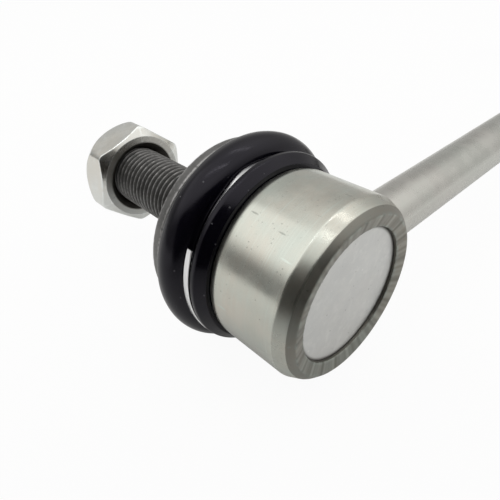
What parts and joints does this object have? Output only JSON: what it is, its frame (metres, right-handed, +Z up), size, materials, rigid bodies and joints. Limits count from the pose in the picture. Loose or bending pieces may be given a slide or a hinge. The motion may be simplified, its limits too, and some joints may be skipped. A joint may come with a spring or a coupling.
{
  "type": "stabilizer link",
  "caption": "Straight steel rod with a booted ball joint at each end, whose threaded studs and lock nuts bolt a stabilizer bar to a suspension strut.",
  "frame": {"origin": "under the middle of the outline, on the plane that the two boots rest on", "axes": "+X along the rod, +Y along the studs towards their nuts, +Z up"},
  "size_m": [0.277, 0.0678, 0.037],
  "materials": {
    "rod_zinc": "satin",
    "housing_zinc": "satin",
    "cover_zinc": "matte",
    "seat_polymer": "satin",
    "clip_steel": "gloss",
    "boot_rubber": "satin",
    "ring_steel": "satin",
    "stud_steel": "satin",
    "insert_nylon": "satin",
    "nut_zinc": "satin"
  },
  "bodies": {
    "link": {"link_rod": "rod_zinc", "left_housing": "housing_zinc", "left_cover_plate": "cover_zinc", "left_upper_seat": "seat_polymer", "left_lower_seat": "seat_polymer", "left_boot_clip": "clip_steel", "right_housing": "housing_zinc", "right_cover_plate": "cover_zinc", "right_upper_seat": "seat_polymer", "right_lower_seat": "seat_polymer", "right_boot_clip": "clip_steel"},
    "left_boot_cup": {"left_boot": "boot_rubber"},
    "left_neck": {"left_neck_ring": "ring_steel"},
    "left_stud": {"left_ball_stud": "stud_steel"},
    "left_insert": {"left_nut_insert": "insert_nylon"},
    "left_nut": {"left_lock_nut": "nut_zinc"},
    "right_boot_cup": {"right_boot": "boot_rubber"},
    "right_neck": {"right_neck_ring": "ring_steel"},
    "right_stud": {"right_ball_stud": "stud_steel"},
    "right_insert": {"right_nut_insert": "insert_nylon"},
    "right_nut": {"right_lock_nut": "nut_zinc"}
  },
  "joints": [
    {"name": "left_stud_pitch", "type": "hinge", "parent": "link", "child": "left_boot_cup", "pos_m": [-0.12, -0.02316, 0.0185], "axis": [1, 0, 0], "range_deg": [-17, 17], "deforming": ["left_boot"]},
    {"name": "left_stud_yaw", "type": "hinge", "parent": "left_boot_cup", "child": "left_neck", "pos_m": [-0.12, -0.02316, 0.0185], "axis": [0, 0, 1], "range_deg": [-17, 17], "deforming": ["left_boot"]},
    {"name": "left_stud_spin", "type": "hinge", "parent": "left_neck", "child": "left_stud", "pos_m": [-0.12, -0.02316, 0.0185], "axis": [0, 1, 0], "continuous": true},
    {"name": "left_nut_travel", "type": "slide", "parent": "left_stud", "child": "left_insert", "axis": [0, 1, 0], "range_m": [-0.024, 0.0125]},
    {"name": "left_nut_turn", "type": "hinge", "parent": "left_insert", "child": "left_nut", "pos_m": [-0.12, -0.02316, 0.0185], "axis": [0, 1, 0], "range_deg": [-6920, 3610]},
    {"name": "right_stud_pitch", "type": "hinge", "parent": "link", "child": "right_boot_cup", "pos_m": [0.12, -0.02316, 0.0185], "axis": [1, 0, 0], "range_deg": [-17, 17], "deforming": ["right_boot"]},
    {"name": "right_stud_yaw", "type": "hinge", "parent": "right_boot_cup", "child": "right_neck", "pos_m": [0.12, -0.02316, 0.0185], "axis": [0, 0, 1], "range_deg": [-17, 17], "deforming": ["right_boot"]},
    {"name": "right_stud_spin", "type": "hinge", "parent": "right_neck", "child": "right_stud", "pos_m": [0.12, -0.02316, 0.0185], "axis": [0, 1, 0], "continuous": true},
    {"name": "right_nut_travel", "type": "slide", "parent": "right_stud", "child": "right_insert", "axis": [0, 1, 0], "range_m": [-0.024, 0.0125]},
    {"name": "right_nut_turn", "type": "hinge", "parent": "right_insert", "child": "right_nut", "pos_m": [0.12, -0.02316, 0.0185], "axis": [0, 1, 0], "range_deg": [-6920, 3610]}
  ],
  "couplings": [
    {"joint": "left_nut_turn", "follows": "left_nut_travel", "rad_per_m": 5026.5},
    {"joint": "right_nut_turn", "follows": "right_nut_travel", "rad_per_m": 5026.5}
  ]
}
